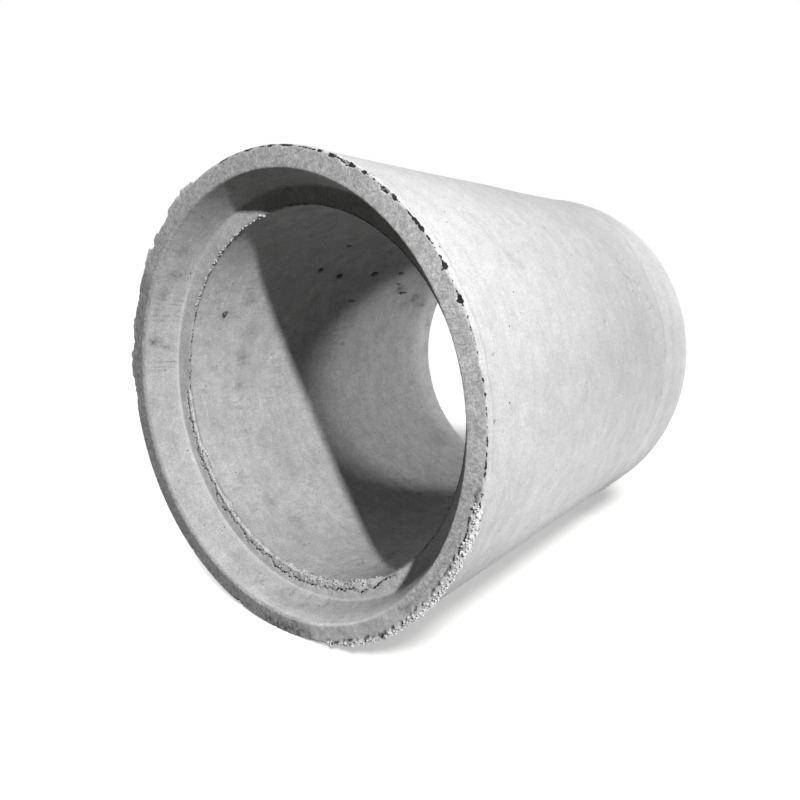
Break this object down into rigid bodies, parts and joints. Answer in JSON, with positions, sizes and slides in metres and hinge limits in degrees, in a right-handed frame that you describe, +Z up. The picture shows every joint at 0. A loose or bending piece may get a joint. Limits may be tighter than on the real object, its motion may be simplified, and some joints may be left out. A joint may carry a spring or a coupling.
{
  "type": "concrete manhole riser",
  "caption": "Straight cast concrete manhole riser, lying on its side, with a drafted socket in one end, a plain flat other end and a round bore right through.",
  "frame": {"origin": "on the ground under the middle of the shaft's length", "axes": "+Y along the shaft's axis from the socket to the plain end, +Z up"},
  "size_m": [1.24, 1.45, 1.24],
  "materials": {
    "concrete": "matte"
  },
  "bodies": {
    "root": {"riser_ring": "concrete"}
  },
  "joints": []
}
